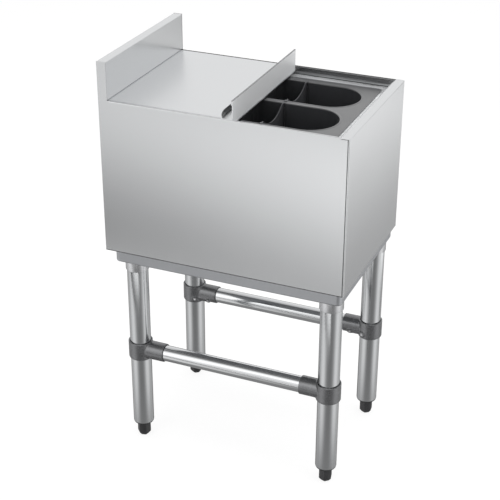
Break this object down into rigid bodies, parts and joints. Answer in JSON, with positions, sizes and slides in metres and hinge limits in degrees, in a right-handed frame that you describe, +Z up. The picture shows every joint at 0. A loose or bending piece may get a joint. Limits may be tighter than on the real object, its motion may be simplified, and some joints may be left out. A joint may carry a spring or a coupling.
{
  "type": "ice bin",
  "caption": "Underbar ice bin: insulated steel box with sliding lid, drop-in bottle wells and backsplash on tube legs with clamp-on rails and levelling feet.",
  "frame": {"origin": "on the floor, under the centre of the overall width and depth", "axes": "+Z up, -Y towards the user, +Y towards the wall behind the backsplash, +X to the user's right"},
  "size_m": [0.315, 0.476, 0.804],
  "materials": {
    "panel_steel": "satin brushed stainless steel sheet",
    "deck_steel": "satin brushed stainless steel sheet",
    "liner_steel": "satin stainless steel sheet",
    "pan_steel": "galvanised steel sheet",
    "lid_steel": "satin brushed stainless steel sheet",
    "glide_nylon": "natural nylon",
    "insert_plastic": "black moulded plastic with a satin flange",
    "divider_plastic": "black moulded plastic",
    "foam": "closed cell insulating foam",
    "drain_steel": "machined stainless steel",
    "gasket_rubber": "matte black rubber",
    "tube_steel": "satin polished stainless steel tube",
    "socket_steel": "satin polished stainless steel",
    "plug_plastic": "black moulded plastic",
    "foot_plastic": "black moulded plastic",
    "tee_metal": "dark grey coated casting",
    "screw_steel": "bright socket set screws"
  },
  "bodies": {
    "bin": {"back_panel": "panel_steel", "backsplash": "panel_steel", "bottle_well_insert": "insert_plastic", "bottom_pan": "pan_steel", "drain_body": "drain_steel", "drain_gasket": "gasket_rubber", "drain_locknut": "drain_steel", "drain_strainer": "drain_steel", "drain_tailpiece": "drain_steel", "front_panel": "panel_steel", "ice_liner": "liner_steel", "insulation": "foam", "leg_front_left": "tube_steel", "leg_front_right": "tube_steel", "leg_plug_front_left": "plug_plastic", "leg_plug_front_right": "plug_plastic", "leg_plug_rear_left": "plug_plastic", "leg_plug_rear_right": "plug_plastic", "leg_rear_left": "tube_steel", "leg_rear_right": "tube_steel", "leg_socket_front_left": "socket_steel", "leg_socket_front_right": "socket_steel", "leg_socket_rear_left": "socket_steel", "leg_socket_rear_right": "socket_steel", "rail_left": "tube_steel", "rail_right": "tube_steel", "side_panel_left": "panel_steel", "side_panel_right": "panel_steel", "socket_set_screws": "screw_steel", "tee_front_left": "tee_metal", "tee_front_right": "tee_metal", "tee_rear_left": "tee_metal", "tee_rear_right": "tee_metal", "tee_set_screws": "screw_steel", "top_deck": "deck_steel", "well_divider_left": "divider_plastic", "well_divider_right": "divider_plastic"},
    "lid": {"sliding_lid": "lid_steel", "lid_glide_left": "glide_nylon", "lid_glide_right": "glide_nylon"},
    "foot_front_left_body": {"foot_front_left": "foot_plastic"},
    "foot_rear_left_body": {"foot_rear_left": "foot_plastic"},
    "foot_front_right_body": {"foot_front_right": "foot_plastic"},
    "foot_rear_right_body": {"foot_rear_right": "foot_plastic"}
  },
  "joints": [
    {"name": "lid_slide", "type": "slide", "parent": "bin", "child": "lid", "axis": [0, -1, 0], "range_m": [0, 0.186]},
    {"name": "foot_front_left_adjust", "type": "slide", "parent": "bin", "child": "foot_front_left_body", "axis": [0, 0, -1], "range_m": [0, 0.025]},
    {"name": "foot_rear_left_adjust", "type": "slide", "parent": "bin", "child": "foot_rear_left_body", "axis": [0, 0, -1], "range_m": [0, 0.025]},
    {"name": "foot_front_right_adjust", "type": "slide", "parent": "bin", "child": "foot_front_right_body", "axis": [0, 0, -1], "range_m": [0, 0.025]},
    {"name": "foot_rear_right_adjust", "type": "slide", "parent": "bin", "child": "foot_rear_right_body", "axis": [0, 0, -1], "range_m": [0, 0.025]}
  ]
}
